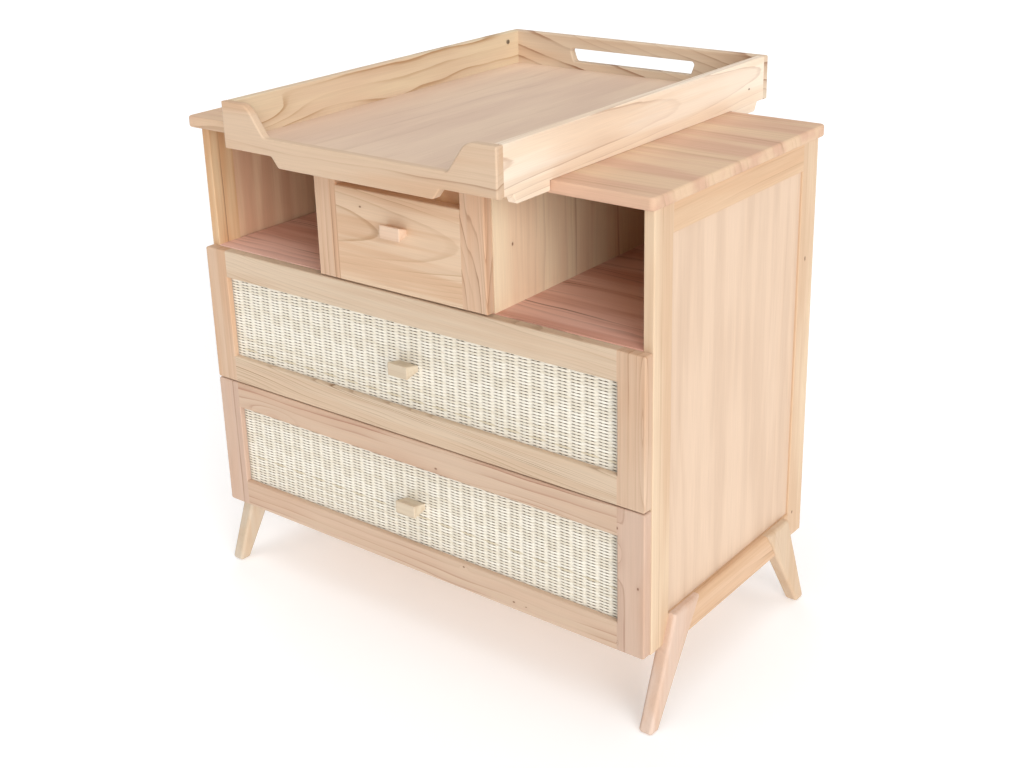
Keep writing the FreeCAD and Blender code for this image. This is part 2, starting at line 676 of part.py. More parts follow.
def tray_back_board():
    """Full-width back with a hand slot, wider at its top."""
    half = TRAY_WIDTH / 2
    back = block((-half, half), (TRAY_BACK - TRAY_BOARD, TRAY_BACK), (TOP, TOP + TRAY_HEIGHT))

    def outer_arris(x, y, z):
        return near(y, TRAY_BACK) or near(z, TOP + TRAY_HEIGHT)

    back = rounded(back, TRAY_ROUND, outer_arris)
    low = TOP + SLOT_LIFT
    high = low + SLOT_HEIGHT
    outline = [
        (-SLOT_BOTTOM_LENGTH / 2, low),
        (SLOT_BOTTOM_LENGTH / 2, low),
        (SLOT_TOP_LENGTH / 2, high),
        (-SLOT_TOP_LENGTH / 2, high),
    ]
    slot = prism_y(outline, (TRAY_BACK - TRAY_BOARD - 1, TRAY_BACK + 1))
    slot = y_edges(slot, {corner: SLOT_CORNER for corner in outline})
    back = back.cut(slot)
    reach = SLOT_TOP_LENGTH / 2 + 1

    def slot_arris(x, y, z):
        flat = near(y, TRAY_BACK) or near(y, TRAY_BACK - TRAY_BOARD)
        return flat and abs(x) < reach and low - 1 < z < high + 1

    return rounded(back, SLOT_ROUND, slot_arris)


def tray_side_board():
    """Right-hand side between the end boards, with a hook at each worktop edge."""
    half = TRAY_WIDTH / 2
    end = TRAY_LENGTH / 2 - TRAY_BOARD
    hook_in = WORKTOP_DEPTH / 2 + TRAY_TAB_GAP
    hook_out = hook_in + TRAY_TAB_LENGTH
    tab = TOP - TRAY_TAB_DROP
    high = TOP + TRAY_HEIGHT
    rear = [
        (hook_in, TOP),
        (hook_in, tab),
        (hook_out - TRAY_TAB_SLOPE, tab),
        (hook_out, TOP),
        (end, TOP),
        (end, high),
    ]
    outline = rear + [(-y, z) for y, z in reversed(rear)]
    board = prism_x(outline, (half - TRAY_BOARD, half))
    corners = [(hook_in, tab), (hook_out - TRAY_TAB_SLOPE, tab), (hook_out, TOP)]

    def on_corner(x, y, z):
        return any(near(abs(y), cy) and near(z, cz) for cy, cz in corners)

    found = [e for e in edges_where(board, on_corner) if not near(e.Vertexes[0].X, e.Vertexes[1].X)]
    board = board.makeFillet(TRAY_CURVE / 2, found)

    def long_arris(x, y, z):
        return near(z, high) or (near(x, half) and z < TOP + 1 and abs(y) < end - 1)

    edges = [e for e in edges_where(board, long_arris) if near(e.Vertexes[0].X, e.Vertexes[1].X)]
    return board.makeFillet(TRAY_ROUND / 2, edges)


def tray_screw_seats():
    """Screw seats on the inner faces of the side boards, near the back."""
    x = TRAY_WIDTH / 2 - TRAY_BOARD
    return V(x, TRAY_BACK - TRAY_SCREW_FROM_END, TOP + TRAY_SCREW_LIFT)


def make_tray():
    groove = tray_floor(0.0)
    seat = tray_screw_seats()
    side = bored(tray_side_board().cut(groove), seat, V(1, 0, 0), TRAY_SCREW)
    fixing = screw(seat, V(1, 0, 0), TRAY_SCREW)
    recess_x = (seat.x - TRAY_SCREW["head_height"] - 1, seat.x - TRAY_SCREW["head_height"] + SCREW_RECESS_DEPTH)
    long_half = SCREW_RECESS_LENGTH / 2
    slim_half = SCREW_RECESS_WIDTH / 2
    for half_y, half_z in ((long_half, slim_half), (slim_half, long_half)):
        cross = block(recess_x, (seat.y - half_y, seat.y + half_y), (seat.z - half_z, seat.z + half_z))
        fixing = fixing.cut(cross)
    pieces = {
        "tray_front_board": [tray_front_board().cut(groove)],
        "tray_back_board": [tray_back_board().cut(groove)],
        "tray_right_board": [side],
        "tray_left_board": [mirrored(side)],
        "tray_floor": [tray_floor(TRAY_GROOVE_GAP)],
        "tray_screws": both(fixing),
    }
    for name, solids in pieces.items():
        for solid in solids:
            solid.translate(V(TRAY_OFFSET, 0, 0))
        save(name, solids)


os.makedirs("parts", exist_ok=True)
make_worktop()
make_sides()
make_inner_boards()
make_carcass_fasteners()
make_leg_frames()
make_drawers()
make_tray()
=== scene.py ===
import math

import bpy
import numpy as np
from mathutils import Matrix, Vector


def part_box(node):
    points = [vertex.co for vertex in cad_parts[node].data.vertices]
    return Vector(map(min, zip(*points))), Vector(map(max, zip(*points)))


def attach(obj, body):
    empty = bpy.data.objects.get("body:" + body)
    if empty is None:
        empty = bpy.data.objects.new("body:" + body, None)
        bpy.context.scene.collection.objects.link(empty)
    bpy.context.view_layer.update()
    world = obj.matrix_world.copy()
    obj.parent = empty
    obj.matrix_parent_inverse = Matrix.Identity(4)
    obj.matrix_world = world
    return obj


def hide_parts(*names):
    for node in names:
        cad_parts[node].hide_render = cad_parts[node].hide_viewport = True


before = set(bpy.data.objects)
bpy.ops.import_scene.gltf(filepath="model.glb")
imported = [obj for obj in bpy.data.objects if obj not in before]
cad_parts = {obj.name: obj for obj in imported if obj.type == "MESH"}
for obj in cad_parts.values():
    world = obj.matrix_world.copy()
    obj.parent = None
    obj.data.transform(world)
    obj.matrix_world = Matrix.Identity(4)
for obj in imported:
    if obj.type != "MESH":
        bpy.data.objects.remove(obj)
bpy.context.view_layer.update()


# ---------------------------------------------------------------- leg frames
# Four splayed legs, each rebated to lap the outside of the carcass and screwed to
# it, with a rail between each pair. They are solid light hardwood, cut with the
# grain along the piece, sanded smooth and oiled matt.

MM = 0.001


def linear(code):
    """sRGB hex to linear: c / 12.92 under 0.04045, else ((c + 0.055) / 1.055) ** 2.4."""
    parts = [int(code[i:i + 2], 16) / 255 for i in (1, 3, 5)]
    return tuple(c / 12.92 if c <= 0.04045 else ((c + 0.055) / 1.055) ** 2.4 for c in parts) + (1.0,)


def add(tree, kind, inputs=(), out=0, **settings):
    """Adds one node and gives one of its outputs. inputs is in the node's order, or by number or
    name; an input given as a socket is linked, and any other is set."""
    made = tree.nodes.new("ShaderNode" + kind)
    for name, value in settings.items():
        setattr(made, name, value)
    for name, value in inputs.items() if isinstance(inputs, dict) else enumerate(inputs):
        if isinstance(value, bpy.types.NodeSocket):
            tree.links.new(value, made.inputs[name])
        else:
            made.inputs[name].default_value = value
    return made.outputs[out] if made.outputs else None


def blank_material(name):
    """A new material, its node tree and its shader, which is linked to the output."""
    made = bpy.data.materials.new(name)
    made.use_nodes = True
    tree = made.node_tree
    tree.nodes.clear()
    surface = add(tree, "BsdfPrincipled")
    add(tree, "OutputMaterial", {"Surface": surface})
    return made, tree, surface.node


def oiled_timber(name, along, heart, tones, late="#9A6A48", lean=(0.0, 0.0), ring=9.0, wander=8.0, bold=0.6,
                 line_share=0.25, fray=0.12, faint=0.14, swells=(), knots=(), plain=()):
    """Light hardwood, sanded and oiled. To the eye it is a warm cream ground with thin brown
    late-wood lines in arches, ovals and streaks, a silky fibre, and hardly any gloss.

    A point's ring number is its distance from the tree's heart line over the ring width, where the
    point first drifts with slow noise. To it come noise for wide and narrow years, a bell-shaped
    swell round each burl and knot, and fine noise that frays the lines. Its fraction darkens slowly
    and then to a thin late-wood line. Its whole part picks each year's strength: a few are bold and
    most are faint. A plain patch fades the lines. Clouds and long bands shift the ground's tone.

    along is the grain's axis, heart a point on the heart line and lean that line's slopes across the
    grain. tones are the ground's two tones, late the line's. ring and wander are in mm, line_share
    is the line's share of a year, fray is in rings, and faint is a faint year's share of bold. A
    swell is its centre, its length and width, and its rings; a knot its centre and size; a plain
    patch its centre, length and width."""
    made, tree, shader = blank_material(name)
    grain = "XYZ".index(along)
    heart_line = Vector(np.insert(lean, grain, 1.0)).normalized()
    place = add(tree, "TexCoord", out="Object")
    smooth = {"interpolation_type": "SMOOTHSTEP"}

    # Lengths and widths of the patterns' spots in mm. Real fibres and pores are 0.1 to 0.3 mm wide,
    # too fine to show from here, so the fibre is drawn as streaks 1.5 mm wide.
    drift_spots, strength_spots, fray_spots = (330.0, 90.0), (230.0, 46.0), (46.0, 5.0)
    cloud_spots, band_spots, fibre_spots = (360.0, 60.0), (700.0, 2.2 * ring), (80.0, 1.5)
    knot_rim_spots = (4.0, 3.0)

    def per_metre(length, width):
        """How many spots of this length and width in mm go in a metre, along the grain and across."""
        return [1000.0 / (length if axis == grain else width) for axis in range(3)]

    def mottle(spots, detail=1.0, roughness=0.5, out="Fac"):
        """Soft noise, stretched along the grain to spots of a real length and width."""
        stretched = add(tree, "VectorMath", (place, per_metre(*spots)), operation="MULTIPLY")
        settings = {"Vector": stretched, "Scale": 1.0, "Detail": detail, "Roughness": roughness}
        return add(tree, "TexNoise", settings, out)

    def away_from(spot, length, width):
        """The way from a spot in mm, counted in lengths along the grain and in widths across it."""
        gap = add(tree, "VectorMath", (place, [v * MM for v in spot]), operation="SUBTRACT")
        return add(tree, "VectorMath", (gap, per_metre(length, width)), operation="MULTIPLY")

    def bell(spot, length, width):
        """1 / e to the power of (distance over size) squared: 1 at the spot, fading all round."""
        one_over_e = 0.3679
        gap = away_from(spot, length, width)
        squared = add(tree, "VectorMath", (gap, gap), "Value", operation="DOT_PRODUCT")
        return add(tree, "Math", (one_over_e, squared), operation="POWER")

    # The drifting point's distance from the heart line, counted in rings.
    drift = mottle(drift_spots, 2.0, 0.5, "Color")
    drift = add(tree, "VectorMath", (drift, (0.5, 0.5, 0.5)), operation="SUBTRACT")
    push = add(tree, "VectorMath", {0: drift, "Scale": 2.0 * wander * MM}, operation="SCALE")
    moved = add(tree, "VectorMath", (place, push), operation="ADD")
    offset = add(tree, "VectorMath", (moved, [v * MM for v in heart]), operation="SUBTRACT")
    square_off = add(tree, "VectorMath", (offset, heart_line), operation="CROSS_PRODUCT")
    distance = add(tree, "VectorMath", (square_off,), "Value", operation="LENGTH")
    count = add(tree, "Math", (distance, ring * MM), operation="DIVIDE")

    # Wide and narrow years come and go about every three rings. A knot pushes its rings aside.
    changes_per_ring, uneven_rings = 0.3, 3.2
    knot_swell_length, knot_swell_width, knot_swell_rings = 4.0, 2.2, 0.45
    years = {"W": count, "Scale": changes_per_ring, "Detail": 1.0}
    uneven = add(tree, "TexNoise", years, noise_dimensions="1D")
    count = add(tree, "Math", (uneven, uneven_rings, count), operation="MULTIPLY_ADD")
    knot_swells = [(spot, (size * knot_swell_length, size * knot_swell_width), knot_swell_rings)
                   for spot, size in knots]
    for spot, (length, width), rings in list(swells) + knot_swells:
        count = add(tree, "Math", (bell(spot, length, width), rings, count), operation="MULTIPLY_ADD")
    count = add(tree, "Math", (mottle(fray_spots, 2.0), fray, count), operation="MULTIPLY_ADD")

    # Within a year: a slow shade, then the line, and a quick fall back to the next year's ground.
    # The lines are strong in some years and some stretches, and weak in the others.
    shade_start, line_full, year_end, shade_depth = 0.1, 0.95, 0.955, 0.36
    weak_year, weak_stretch, strong_stretch, weak_share, plain_fade = 0.4, 0.36, 0.64, 0.2, 0.9
    share = add(tree, "Math", (count,), operation="FRACT")
    year = add(tree, "Math", (count,), operation="FLOOR")
    own = add(tree, "TexWhiteNoise", {"W": year}, noise_dimensions="1D")
    line = add(tree, "MapRange", (share, 1.0 - line_share, line_full), **smooth)
    shade = add(tree, "MapRange", (share, shade_start, line_full, 0.0, shade_depth), **smooth)
    drawn = add(tree, "Math", (line, shade), operation="MAXIMUM")
    stretch = (mottle(strength_spots), weak_stretch, strong_stretch, weak_share * bold, bold)
    fades = [add(tree, "MapRange", (share, year_end, 1.0, 1.0, 0.0), **smooth),
             add(tree, "MapRange", (own, weak_year, 1.0, faint, 1.0), **smooth),
             add(tree, "MapRange", stretch, **smooth)]
    for spot, (length, width) in plain:
        patch = bell(spot, length, width)
        fades.append(add(tree, "Math", (patch, -plain_fade, 1.0), operation="MULTIPLY_ADD"))
    for fade in fades:
        drawn = add(tree, "Math", (drawn, fade), operation="MULTIPLY")

    # The ground's tones, then the lines, the fibre's light and dark streaks, and the knots.
    cloud_low, cloud_high = 0.82, 1.18
    fibre_low, fibre_high, fibre_dark, fibre_light = 0.28, 0.72, 0.965, 1.025
    knot_colour, knot_depth, knot_stretch = "#6E4127", 0.85, 1.5
    knot_core, knot_rim, knot_raggedness = 0.5, 1.25, 0.5
    fibre = mottle(fibre_spots, 2.0, 0.55)
    cloud = add(tree, "Math", (mottle(cloud_spots, 2.0), mottle(band_spots, 2.0)), operation="ADD")
    cloud = add(tree, "MapRange", (cloud, cloud_low, cloud_high), **smooth)
    soft = add(tree, "Mix", {0: cloud, 6: linear(tones[0]), 7: linear(tones[1])}, 2, data_type="RGBA")
    lined = add(tree, "Mix", {0: drawn, 6: soft, 7: linear(late)}, 2, data_type="RGBA")
    streaks = add(tree, "MapRange", (fibre, fibre_low, fibre_high, fibre_dark, fibre_light), **smooth)
    colour = add(tree, "VectorMath", {0: lined, "Scale": streaks}, operation="SCALE")
    for spot, size in knots:
        gap = away_from(spot, knot_stretch * size, size)
        reach = add(tree, "VectorMath", (gap,), "Value", operation="LENGTH")
        ragged = add(tree, "Math", (mottle(knot_rim_spots), knot_raggedness, reach), operation="MULTIPLY_ADD")
        inside = add(tree, "MapRange", (ragged, knot_core, knot_rim, knot_depth, 0.0), **smooth)
        colour = add(tree, "Mix", {0: inside, 6: colour, 7: linear(knot_colour)}, 2, data_type="RGBA")
    tree.links.new(colour, shader.inputs["Base Color"])

    # Oiled wood is rough between its fibres and a little smoother on them. The relief of fibres
    # and lines is 0.12 mm high, and the oil film's gloss is weak.
    rough_low, rough_high, fibre_pit, fibre_crest = 0.48, 0.6, 0.25, 0.75
    relief_height, relief_strength, line_height = 0.12 * MM, 0.18, 0.5
    rough = add(tree, "MapRange", (fibre, fibre_pit, fibre_crest, rough_high, rough_low), **smooth)
    tree.links.new(rough, shader.inputs["Roughness"])
    relief = add(tree, "Math", (drawn, line_height, fibre), operation="MULTIPLY_ADD")
    bump = add(tree, "Bump", {"Height": relief, "Strength": relief_strength, "Distance": relief_height})
    tree.links.new(bump, shader.inputs["Normal"])
    shader.inputs["IOR"].default_value = 1.45
    shader.inputs["Specular IOR Level"].default_value = 0.3
    return made


def dress(material, *names):
    """Gives CAD pieces their finish."""
    for name in names:
        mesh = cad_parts[name].data
        mesh.materials.clear()
        mesh.materials.append(material)


# The legs' lines follow their splay and stay thin and pale. The rails' are close and brown.
LEG_HEART_X, LEG_HEART_Y, LEG_SPLAY, LEG_RAIL_HEART_X = 479.4, 620, 0.5, 282
for side, sign, front_tones in (
        ("left", -1, ("#CDBFAC", "#C9B49B")),
        ("right", 1, ("#D7BEAD", "#D2B39D"))):
    for end, toward, tones in (("front", -1, front_tones), ("rear", 1, ("#D0B79C", "#CBAE90"))):
        leg_wood = oiled_timber(
            "%s_%s_leg_wood" % (side, end), "Z", heart=(sign * LEG_HEART_X, toward * LEG_HEART_Y, 95),
            tones=tones, lean=(0.0, -toward * LEG_SPLAY), ring=8, wander=5, bold=0.4)
        dress(leg_wood, "%s_%s_leg" % (side, end))
    rail_wood = oiled_timber(
        side + "_leg_rail_wood", "Y", heart=(sign * LEG_RAIL_HEART_X, 0, 60), tones=("#D6B393", "#CCA581"),
        late="#8E6440", ring=7, wander=9, bold=0.95, line_share=0.4, faint=0.4)
    dress(rail_wood, side + "_leg_rail")


# ---------------------------------------------------------------- carcass sides
# Each side is a frame of two stiles and two rails, dowelled and glued, round a flat
# panel that sits loose in their grooves. All are solid oiled hardwood boards.

# The quarter-sawn stiles show straight fine lines, browner on the left side, and the rear ones
# two small knots. The panel's soft broad bands are the arms of one arch, which meet in a V.
STILE_HEART_X, SIDE_RAIL_HEART_X, PANEL_HEART_X, PANEL_LEAN = 460, 320, 185, 0.02
STILE_FACE_X = 469
for side, sign, stile_tones, stile_late, stile_bold, panel_tones in (
        ("left", -1, ("#DEC09A", "#CFA37A"), "#84543A", 1.0, ("#DBB898", "#CDA386")),
        ("right", 1, ("#DCC2A4", "#D0B091"), "#9A6A48", 0.45, ("#DBC0A7", "#D2B69D"))):
    stile_wood = oiled_timber(
        side + "_side_stile_wood", "Z", heart=(sign * STILE_HEART_X, -900, 500), tones=stile_tones,
        late=stile_late, ring=12, wander=5, bold=stile_bold, line_share=0.4,
        knots=[((sign * STILE_FACE_X, 226, 655), 3.6), ((sign * STILE_FACE_X, 221, 184), 3.0)])
    rail_wood = oiled_timber(
        side + "_side_rail_wood", "Y", heart=(sign * SIDE_RAIL_HEART_X, 0, -200),
        tones=("#D6B594", "#D2AD8A"), lean=(0.0, 0.02), wander=6, bold=0.35)
    panel_wood = oiled_timber(
        side + "_side_panel_wood", "Z", heart=(sign * PANEL_HEART_X, 3, 597), tones=panel_tones,
        late="#B8906E", lean=(sign * PANEL_LEAN, 0.0), ring=11, wander=9, bold=0.38, line_share=0.45, fray=0.08)
    dress(stile_wood, side + "_side_stiles")
    dress(rail_wood, side + "_side_rails")
    dress(panel_wood, side + "_side_panel")


# ---------------------------------------------------------------- inside the carcass
# The niche shelf and the base run from side to side, and two upright partitions
# carry the small drawer. They are oiled hardwood, dowelled together. A thin board
# is screwed over the back.

# The shelf is a redder board with bold waving lines, and the partitions are pale and calm, with
# one pin knot in the niche at the right. The base and the back are plain and light brown.
shelf_wood = oiled_timber(
    "niche_shelf_wood", "X", heart=(0, -700, 560), tones=("#EEC4B4", "#DCA895"), late="#84523C",
    ring=15, wander=34, bold=0.85, line_share=0.65, fray=0.2, faint=0.3)
base_wood = oiled_timber(
    "base_panel_wood", "X", heart=(0, 700, 60), tones=("#E4C2A0", "#DDB490"), wander=10, bold=0.5)
partition_wood = oiled_timber(
    "partition_wood", "Z", heart=(120, -700, 750), tones=("#F1DDBD", "#E9CDAE"),
    ring=19, wander=14, bold=0.5, line_share=0.6, fray=0.18, knots=[((180.5, -190, 742), 3.0)])
back_wood = oiled_timber(
    "back_board_wood", "Z", heart=(-60, 620, 500), tones=("#DDB391", "#D1A281"), late="#96694A",
    lean=(0.03, 0.02), ring=13, wander=16, bold=0.5, line_share=0.5)
dress(shelf_wood, "niche_shelf")
dress(base_wood, "base_panel")
dress(partition_wood, "left_partition", "right_partition")
dress(back_wood, "back_panel")


# ---------------------------------------------------------------- dowels and screws
# Beech dowels hold the boards together, and zinc-plated steel screws hold the back,
# the leg frames, the knobs and the tray. Only a few screw heads ever show.
def plated_steel(name, tint, rough):
    """Steel, rolled or drawn and then zinc plated. To the eye it is a light grey metal whose gloss
    is broken up by a faint cloudy bloom. Colour and roughness both follow one noise. The real
    bloom's spots are under a millimetre, too fine to show, so they are drawn 6.25 mm wide."""
    bloom_width, bloom_dark, bloom_light, bloom_smoother, bloom_rougher = 6.25, 0.85, 1.08, -0.06, 0.08
    made, tree, shader = blank_material(name)
    place = add(tree, "TexCoord", out="Object")
    bloom = add(tree, "TexNoise", {"Vector": place, "Scale": 1000.0 / bloom_width, "Detail": 3.0})
    tone = add(tree, "MapRange", {"Value": bloom, 3: bloom_dark, 4: bloom_light})
    colour = add(tree, "VectorMath", {0: linear(tint)[:3], "Scale": tone}, operation="SCALE")
    gloss = add(tree, "MapRange", {"Value": bloom, 3: rough + bloom_smoother, 4: rough + bloom_rougher})
    tree.links.new(colour, shader.inputs["Base Color"])
    tree.links.new(gloss, shader.inputs["Roughness"])
    shader.inputs["Metallic"].default_value = 1.0
    return made


# Beech looks even and fine. The screws' plating is dull and a little warm.
dowel_wood = oiled_timber(
    "dowel_wood", "Z", heart=(0, -900, 400), tones=("#E4C29A", "#DDB88E"), ring=3, wander=1, bold=0.3)
screw_steel = plated_steel("zinc_plated_screw_steel", "#A9A59C", rough=0.38)
dress(dowel_wood, "carcass_dowels")
dress(screw_steel, "back_panel_screws", "leg_screws", "tray_screws",
      "small_knob_screw", "upper_knob_screw", "lower_knob_screw")


# ---------------------------------------------------------------- worktop
# One wide board of solid oiled hardwood, its arrises softened all round and its
# grain running from side to side. It is dowelled to the sides.

# Wide slow lines give it soft wavy bands, cream and light brown.
worktop_wood = oiled_timber(
    "worktop_wood", "X", heart=(0, -560, 700), tones=("#DABB9C", "#D0A98F"), late="#A07858",
    lean=(0.02, 0.01), ring=19, wander=24, bold=0.48, line_share=0.55, fray=0.14, faint=0.3)
dress(worktop_wood, "worktop")


# ---------------------------------------------------------------- runners
# Each drawer hangs on a pair of ball-bearing runners of rolled, bright-plated
# steel. Each has three members: one on the carcass, one between, one on the drawer.

# The bright plating looks whiter and glossier than the screws'.
runner_steel = plated_steel("bright_runner_steel", "#C2C3C4", rough=0.3)
for drawer in ("small", "upper", "lower"):
    dress(runner_steel, drawer + "_runner_middle_members", drawer + "_runner_drawer_members")
dress(runner_steel, "runner_cabinet_members")


# ---------------------------------------------------------------- drawer boxes
# Plain sanded hardwood boards, their sides and ends joined at the corners, with a
# thin bottom let into grooves in them.

# They are cream with quiet lines. The small drawer's box, seen in its notch, is painted darker brown: painted
# shade for the shadow it sits in there.
BOX_HEART_BELOW = 420
for drawer, middle_z, box_tones in (
        # Painted shade: the small box's darker tones stand for the shadow behind the small drawer's notch.
        ("small", 700, ("#C2956C", "#B4845E")),
        ("upper", 500, ("#E3C29C", "#DBB68C")),
        ("lower", 250, ("#E3C29C", "#DBB68C"))):
    box_wood = oiled_timber(
        drawer + "_box_wood", "Y", heart=(40, 0, middle_z - BOX_HEART_BELOW), tones=box_tones,
        lean=(0.02, 0.01), ring=10, bold=0.4)
    dress(box_wood, drawer + "_box_sides", drawer + "_box_ends", drawer + "_box_bottom")


# ---------------------------------------------------------------- drawer fronts
# Each large front is a frame of two stiles and two rails round a cane panel, and
# the small one has two stiles and a lower panel. The boards are solid oiled
# hardwood, dowelled and glued, and every one has its own figure.

FRONT_FACE_Y = -256
front_boards = {
    # Brown lines, which part round a long eye at the right-hand edge.
    "upper_front_stiles": oiled_timber(
        "upper_front_stile_wood", "Z", heart=(0, -230, 515), tones=("#D1B49A", "#CCA788"),
        ring=15, wander=4, bold=0.75, line_share=0.2, faint=0.5,
        swells=[((462, FRONT_FACE_Y, 530), (105, 7), 1.6)]),
    # A few thin dark lines, a small burl and three pin knots.
    "lower_front_stiles": oiled_timber(
        "lower_front_stile_wood", "Z", heart=(0, -230, 260), tones=("#CDB19D", "#C8A58D"), late="#8C5A42",
        ring=42, wander=6, bold=1.0, line_share=0.12, fray=0.06, faint=0.7,
        swells=[((417, FRONT_FACE_Y, 309), (34, 15), 1.7)],
        knots=[((418, FRONT_FACE_Y, 352), 2.4), ((456, FRONT_FACE_Y, 259), 2.4),
               ((417, FRONT_FACE_Y, 150), 2.2)]),
    # Grey-cream wood: the top rail is plain, the bottom rail has close brown lines along it.
    "upper_front_rails": oiled_timber(
        "upper_front_rail_wood", "X", heart=(0, -240, 200), tones=("#D4BEA5", "#D0B69B"), late="#7E5834",
        lean=(0.0, -0.06), ring=5.4, wander=9, bold=1.0, line_share=0.42, faint=0.4,
        plain=[((0, FRONT_FACE_Y, 618), (900, 40))]),
    # Reddish lines, wide apart, swelling round two burls, with pin knots.
    "lower_front_rails": oiled_timber(
        "lower_front_rail_wood", "X", heart=(0, -240, 560), tones=("#CFB59D", "#CAAB92"), late="#94563F",
        lean=(0.0, 0.012), ring=19, wander=12, bold=0.9, line_share=0.35, faint=0.5,
        swells=[((262, FRONT_FACE_Y, 333), (120, 15), 1.9), ((-330, FRONT_FACE_Y, 345), (60, 16), 1.6)],
        knots=[((58, FRONT_FACE_Y, 348), 2.6), ((110, FRONT_FACE_Y, 180), 2.2),
               ((215, FRONT_FACE_Y, 150), 2.2), ((240, FRONT_FACE_Y, 149), 1.6)]),
    # Strong brown lines that sweep out sideways near the right stile's top.
    "small_front_stiles": oiled_timber(
        "small_front_stile_wood", "Z", heart=(0, -235, 750), tones=("#D6B69A", "#D2AB8B"), late="#8C5A36",
        ring=9, wander=4, bold=0.95, line_share=0.28, faint=0.45,
        swells=[((128, FRONT_FACE_Y, 830), (120, 46), 3.4), ((183, FRONT_FACE_Y, 800), (120, 9), 1.2)]),
    # Cut near the tree's heart: long thin ovals one inside the other, and a knot.
    "small_front_panel": oiled_timber(
        "small_front_panel_wood", "X", heart=(-45, -160, 741), tones=("#DEC2A5", "#D5B292"), late="#A27448",
        lean=(0.055, 0.0), ring=6.0, wander=3, bold=0.55, line_share=0.3, fray=0.05, faint=0.5,
        knots=[((-77, FRONT_FACE_Y, 777), 2.4)]),
}
for name, wood in front_boards.items():
    dress(wood, name)


# ---------------------------------------------------------------- cane panels
# Woven rattan sheet: upright flat stakes, with fine split strands passing before
# one stake and behind the next, each row opposite to its neighbours, so that a dark
# slot shows on both sides of a stake. A thin board closes the back.
def closed_strips(points, start=0):
    """Joins rings of points into tubes and caps their ends. points is (strips, rings, corners, 3),
    and start its first point's number. A corner's number is start plus (strip times rings plus
    ring) times corners plus corner. Each face joins two corners of a ring to the same two of the
    next ring, and the caps take a whole ring, the first one backwards, so that all face outwards."""
    strips, rings, corners = points.shape[:3]
    numbers = (np.arange(strips), np.arange(rings - 1), np.arange(corners))
    strip, ring, corner = np.meshgrid(*numbers, indexing="ij")
    here = start + (strip * rings + ring) * corners
    beyond, after = here + corners, (corner + 1) % corners
    bands = np.stack([here + corner, here + after, beyond + after, beyond + corner], axis=-1).reshape(-1, 4)
    first = start + np.arange(strips)[:, None] * rings * corners + np.arange(corners)[::-1]
    last = first[:, ::-1] + (rings - 1) * corners
    return points.reshape(-1, 3), bands.tolist() + first.tolist() + last.tolist()


def woven_cane(name, node, stake_pitch, row_pitch, dark_row):
    """A strand's place over the middle plane is y = -A s(sin(pi (x / stake pitch + row))), where
    s(v) = sign(v) |v|^1.2 keeps it near the middle between stakes. Its section is a hexagon with
    flat front and back, taller where it passes before a stake. A stake is an upright flat strip
    of eight corners in the middle plane. Each point keeps its strand's tint and how far it is
    hidden: 0 in front, and up to 1 where the strand has passed behind a stake."""
    edge, swing, strand_half_thick = 2 * MM, 1.2 * MM, 0.45 * MM
    stake_half_wide, stake_half_thick = 2.1 * MM, 0.5 * MM
    steps_per_stake, strand_corners, bend, cosine_of_30 = 8, 6, 1.2, 0.866
    half_tall, taller_in_front = 0.51, 0.22
    hidden_from, hidden_over, dark_tint, stake_shade = 0.5, 0.3, 2.2, 0.35
    low, high = (np.array(v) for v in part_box(node))
    span, height = high[0] - low[0] - 2 * edge, high[2] - low[2] - 2 * edge
    middle_y = (low[1] + high[1]) / 2
    stakes, rows = round(span / stake_pitch), round(height / row_pitch)
    pitch, rise = span / stakes, height / rows

    steps = stakes * steps_per_stake + 1
    corner_turns = np.arange(strand_corners) * math.pi / 3 + math.pi / 6
    along = np.linspace(0.0, 1.0, steps)
    row, part, turn = np.meshgrid(np.arange(rows), along, corner_turns, indexing="ij")
    wave = np.sin(math.pi * (part * stakes + row))
    crest = np.sign(wave) * np.abs(wave) ** bend
    tall = rise * (half_tall + taller_in_front * np.clip(wave, 0.0, 1.0))
    x = low[0] + edge + part * span
    y = middle_y - swing * crest + strand_half_thick * np.cos(turn) / cosine_of_30
    z = low[2] + edge + (row + 0.5) * rise + tall * np.sin(turn)
    strands, strand_faces = closed_strips(np.stack([x, y, z], axis=-1))

    stake, end, corner = np.meshgrid(np.arange(stakes), np.arange(2), np.arange(4), indexing="ij")
    stake_x = low[0] + edge + (stake + 0.5) * pitch + np.array([-1, 1, 1, -1])[corner] * stake_half_wide
    stake_y = middle_y + np.array([-1, -1, 1, 1])[corner] * stake_half_thick
    stake_z = low[2] + edge + end * height
    uprights, upright_faces = closed_strips(np.stack([stake_x, stake_y, stake_z], axis=-1), len(strands))

    mesh = bpy.data.meshes.new(name)
    mesh.from_pydata(np.concatenate([strands, uprights]).tolist(), [], strand_faces + upright_faces)
    mesh.update()
    # hidden drives painted shade in the rattan's material: strands darken where they pass behind a stake, and
    # the stakes keep a little of it.
    hidden = np.clip((-wave - hidden_from) / hidden_over, 0.0, 1.0).reshape(-1)
    tint = np.random.default_rng(len(name) + rows).random(rows)
    tint[round(dark_row * rows)] = dark_tint
    for label, values in (("hidden", hidden), ("tint", np.repeat(tint, steps * strand_corners))):
        values = np.concatenate([values, np.full(len(uprights), stake_shade)])
        mesh.attributes.new(label, "FLOAT", "POINT").data.foreach_set("value", values.astype(np.float32))
    sheet = bpy.data.objects.new(name, mesh)
    bpy.context.scene.collection.objects.link(sheet)
    return sheet


